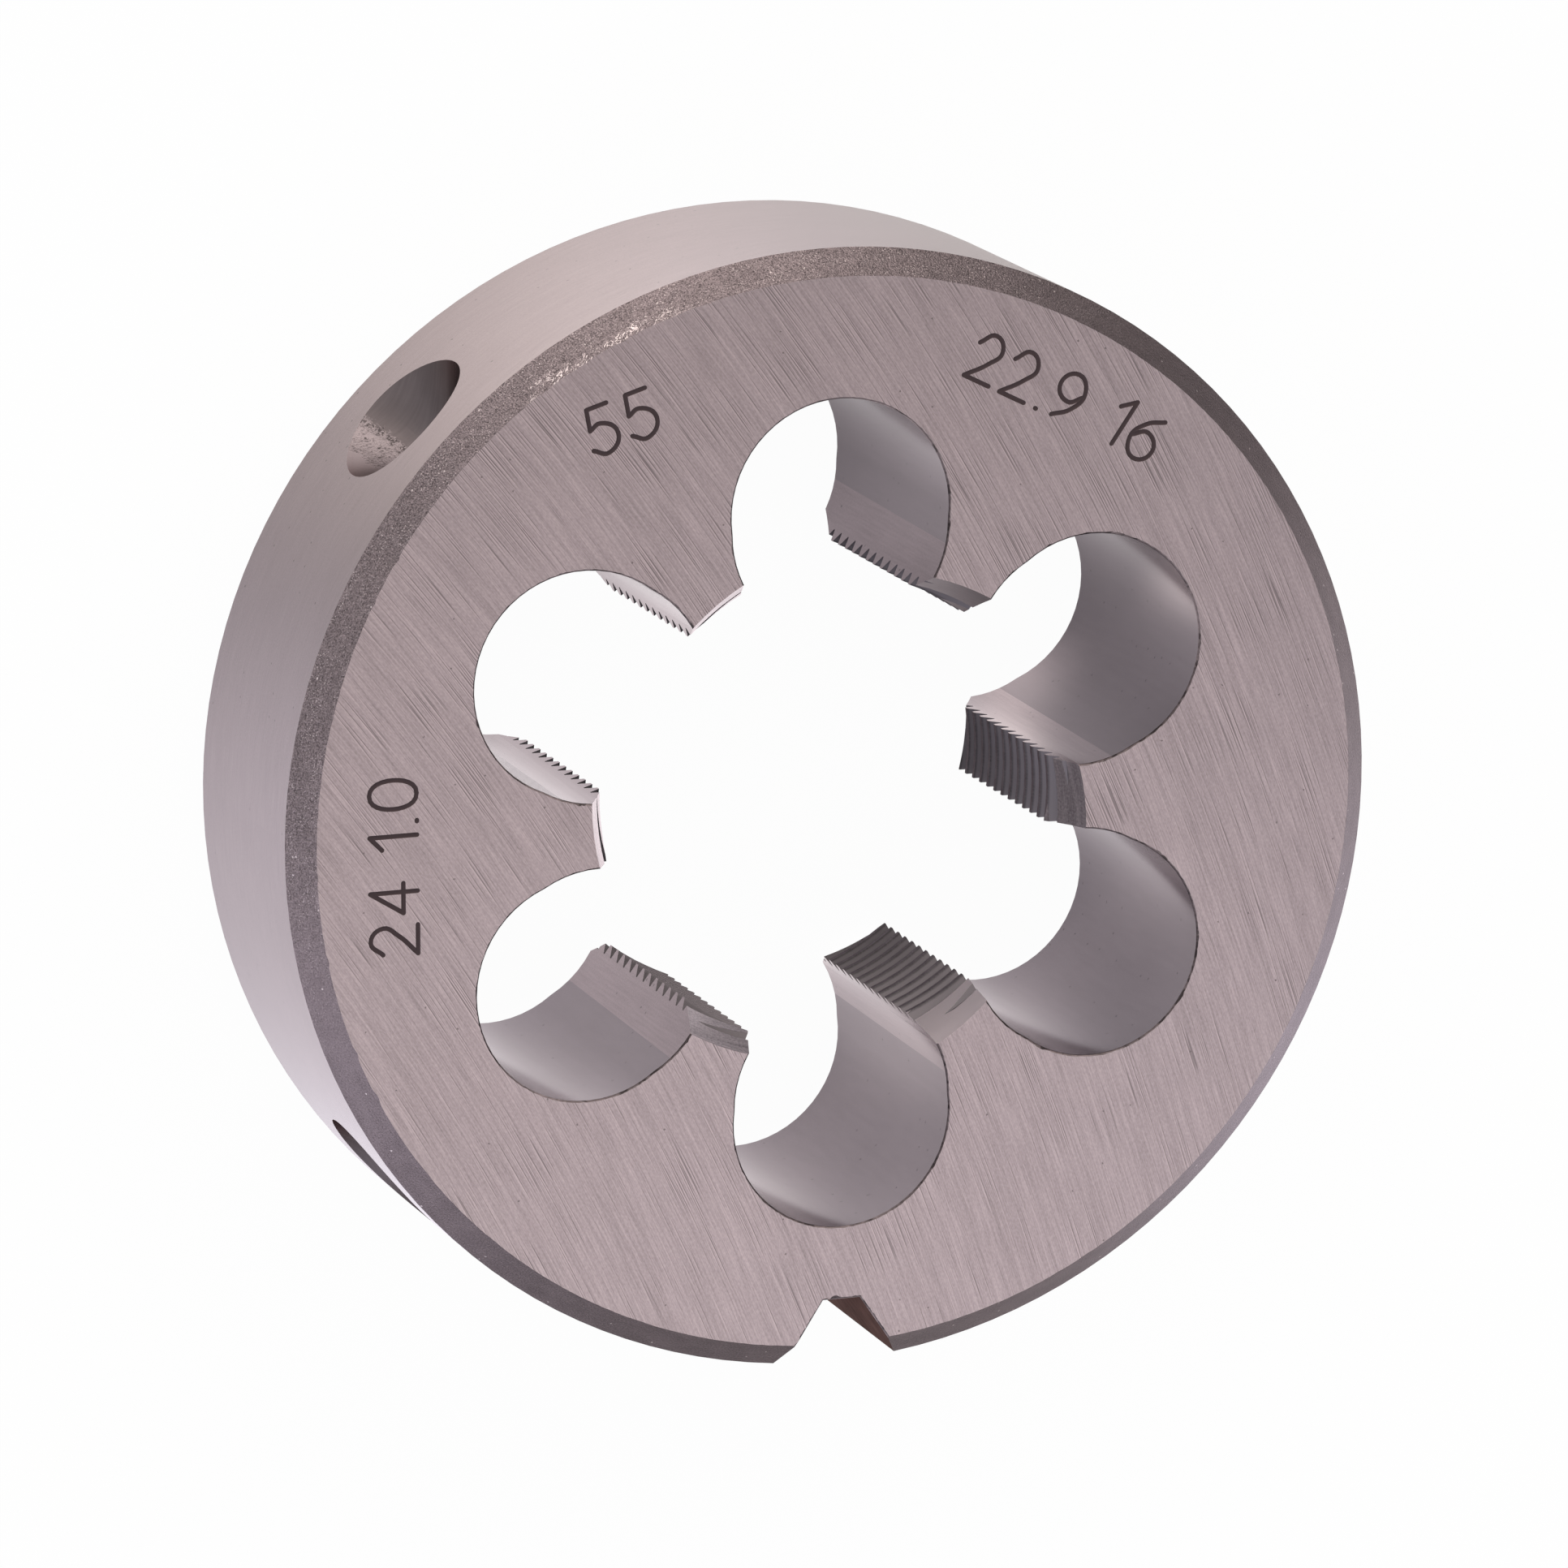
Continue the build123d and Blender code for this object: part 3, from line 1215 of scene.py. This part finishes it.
def light_room(tree):
    """Lights the room softly from a few sides, low above the floor, and shows it white to the camera."""
    tree.nodes.clear()
    way = add_node(tree, "ShaderNodeTexCoord").outputs["Generated"]
    total = (0.0, 0.0, 0.0)
    rise = math.radians(GLOW_ELEVATION)
    for azimuth, strength, tint in ROOM_GLOWS:
        turn = math.radians(azimuth)
        flat = math.cos(rise)
        middle = (math.cos(turn) * flat, math.sin(turn) * flat, math.sin(rise))
        near = add_node(tree, "ShaderNodeVectorMath", {0: way, 1: middle}, operation="DOT_PRODUCT")
        soft = add_node(
            tree,
            "ShaderNodeMath",
            {0: near.outputs["Value"], 1: GLOW_SHARPNESS, 2: -GLOW_SHARPNESS},
            operation="MULTIPLY_ADD",
        )
        glow = add_node(tree, "ShaderNodeMath", {0: soft}, operation="EXPONENT")
        light = [strength * channel for channel in linear(tint)[:3]]
        total = add_node(
            tree,
            "ShaderNodeVectorMath",
            {0: glow, 1: light, 2: total},
            operation="MULTIPLY_ADD",
        )
    path = add_node(tree, "ShaderNodeLightPath")
    shown = add_node(
        tree,
        "ShaderNodeMix",
        {"Factor": path.outputs["Is Camera Ray"], "A": total, "B": (1, 1, 1, 1)},
        data_type="RGBA",
    ).outputs["Result"]
    sky = add_node(tree, "ShaderNodeBackground", {"Color": shown, "Strength": 1.0})
    add_node(tree, "ShaderNodeOutputWorld", {"Surface": sky})


class DIE_OT_stage(bpy.types.Operator):
    """Lays the pale floor and sets the lamps, the world and the camera"""

    bl_idname = "threading_die.stage"
    bl_label = "Stage"

    def execute(self, context):
        mesh = bpy.data.meshes.new("floor")
        shape = bmesh.new()
        bmesh.ops.create_grid(shape, x_segments=1, y_segments=1, size=FLOOR_REACH)
        shape.to_mesh(mesh)
        shape.free()
        mesh.materials.append(white_paper())
        floor = bpy.data.objects.new("floor", mesh)
        context.scene.collection.objects.link(floor)

        world = bpy.data.worlds.new("studio")
        context.scene.world = world
        world.use_nodes = True
        light_room(world.node_tree)

        for x, y, watts, tint in LAMPS:
            lamp_data = bpy.data.lights.new("softbox", "AREA")
            lamp_data.size = LAMP_SIZE
            lamp_data.energy = watts
            lamp_data.color = linear(tint)[:3]
            lamp = bpy.data.objects.new("softbox", lamp_data)
            lamp.location = (x, y, LAMP_HEIGHT)
            to_die = Vector((0, 0, FACE_HEIGHT)) - lamp.location
            lamp.rotation_euler = to_die.to_track_quat("-Z", "Y").to_euler()
            lamp.visible_camera = False
            context.scene.collection.objects.link(lamp)

        camera_data = bpy.data.cameras.new("camera")
        camera_data.sensor_width = SENSOR_WIDTH
        camera_data.lens = CAMERA_LENS
        camera_data.clip_start = 0.05
        camera = bpy.data.objects.new("camera", camera_data)
        camera.location = CAMERA_PLACE
        camera.rotation_euler = [math.radians(a) for a in CAMERA_TURNS]
        context.scene.collection.objects.link(camera)
        context.scene.camera = camera
        context.scene.view_settings.view_transform = "Standard"
        return {"FINISHED"}


class DIE_PT_panel(bpy.types.Panel):
    """Lists the sizes, the colours and the steps of the die"""

    bl_idname = "DIE_PT_panel"
    bl_label = "Round Threading Die"
    bl_space_type = "VIEW_3D"
    bl_region_type = "UI"
    bl_category = "Threading Die"

    def draw(self, context):
        for group in (context.scene.die_sizes, context.scene.die_colours):
            box = self.layout.box()
            for name in group.__annotations__:
                box.prop(group, name)
        for operator in (DIE_OT_disc, DIE_OT_numbers, DIE_OT_stage):
            self.layout.operator(operator.bl_idname)


CLASSES = (DieSizes, DieColours, DIE_OT_disc, DIE_OT_numbers, DIE_OT_stage, DIE_PT_panel)


def register():
    for each in CLASSES:
        bpy.utils.register_class(each)
    bpy.types.Scene.die_sizes = bpy.props.PointerProperty(type=DieSizes)
    bpy.types.Scene.die_colours = bpy.props.PointerProperty(type=DieColours)


def unregister():
    del bpy.types.Scene.die_colours
    del bpy.types.Scene.die_sizes
    for each in reversed(CLASSES):
        bpy.utils.unregister_class(each)


def main():
    """Registers the settings and builds the disc, its numbers and the stage."""
    register()
    bpy.ops.threading_die.disc()
    bpy.ops.threading_die.numbers()
    bpy.ops.threading_die.stage()


if __name__ == "__main__":
    main()
